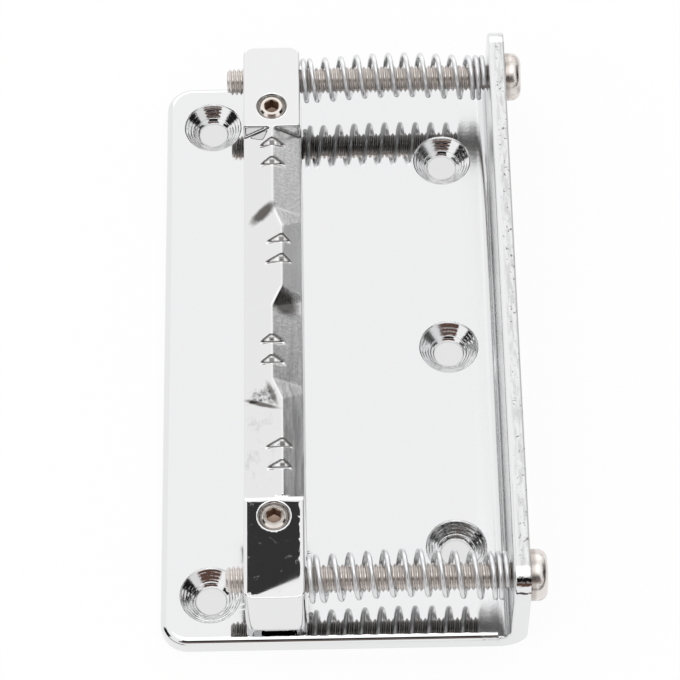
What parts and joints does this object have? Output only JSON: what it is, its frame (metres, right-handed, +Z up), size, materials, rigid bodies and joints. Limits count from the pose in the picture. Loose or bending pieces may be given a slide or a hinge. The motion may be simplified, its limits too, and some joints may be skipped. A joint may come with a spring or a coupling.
{
  "type": "mandolin bridge",
  "caption": "Bent chrome base with a compensated string saddle that slides on spring-loaded screws and stands on height screws.",
  "frame": {"origin": "centre of the whole part's outline seen from above, on the underside of the base", "axes": "+X from the front edge towards the rear flange, along the strings; +Y across the strings, towards the far end; +Z up, out of the instrument's top"},
  "size_m": [0.0412, 0.072, 0.0137],
  "materials": {
    "plate_chrome": "polished chrome plate on bent steel sheet",
    "saddle_chrome": "chrome plate on a cast and milled bar, rough on the crest",
    "screw_nickel": "nickel-plated steel, warm tone",
    "set_screw_nickel": "nickel-plated steel, warm tone",
    "spring_steel": "zinc-plated spring wire"
  },
  "bodies": {
    "base": {"base_plate": "plate_chrome"},
    "screw_swing": {"far_spring": "spring_steel", "near_spring": "spring_steel"},
    "saddle": {"saddle": "saddle_chrome"},
    "far_intonation_screw": {"far_intonation_screw": "screw_nickel"},
    "near_intonation_screw": {"near_intonation_screw": "screw_nickel"},
    "far_height_screw": {"far_height_screw": "set_screw_nickel"},
    "near_height_screw": {"near_height_screw": "set_screw_nickel"}
  },
  "joints": [
    {"name": "saddle_height", "type": "hinge", "parent": "base", "child": "screw_swing", "pos_m": [0.0177, 0, 0.00875], "axis": [0, 1, 0], "range_deg": [-1.5, 2.5]},
    {"name": "far_intonation_turn", "type": "hinge", "parent": "screw_swing", "child": "far_intonation_screw", "pos_m": [0.0177, 0.0318, 0.00875], "axis": [-1, 0, 0], "range_deg": [-2160.1, 4320.1]},
    {"name": "near_intonation_turn", "type": "hinge", "parent": "screw_swing", "child": "near_intonation_screw", "pos_m": [0.0177, -0.0318, 0.00875], "axis": [-1, 0, 0], "range_deg": [-2160.1, 4320.1]},
    {"name": "saddle_intonation", "type": "slide", "parent": "screw_swing", "child": "saddle", "axis": [1, 0, 0], "range_m": [-0.003, 0.006], "deforming": ["far_spring", "near_spring"]},
    {"name": "far_height_travel", "type": "slide", "parent": "saddle", "child": "far_height_screw", "axis": [0, 0, -1], "range_m": [-0.00064, 0.00106]},
    {"name": "near_height_travel", "type": "slide", "parent": "saddle", "child": "near_height_screw", "axis": [0, 0, -1], "range_m": [-0.00064, 0.00106]}
  ],
  "couplings": [
    {"joint": "far_intonation_turn", "follows": "saddle_intonation", "rad_per_m": 12566},
    {"joint": "near_intonation_turn", "follows": "saddle_intonation", "rad_per_m": 12566},
    {"joint": "far_height_travel", "follows": "saddle_height", "m_per_rad": 0.0243},
    {"joint": "near_height_travel", "follows": "saddle_height", "m_per_rad": 0.0243}
  ]
}
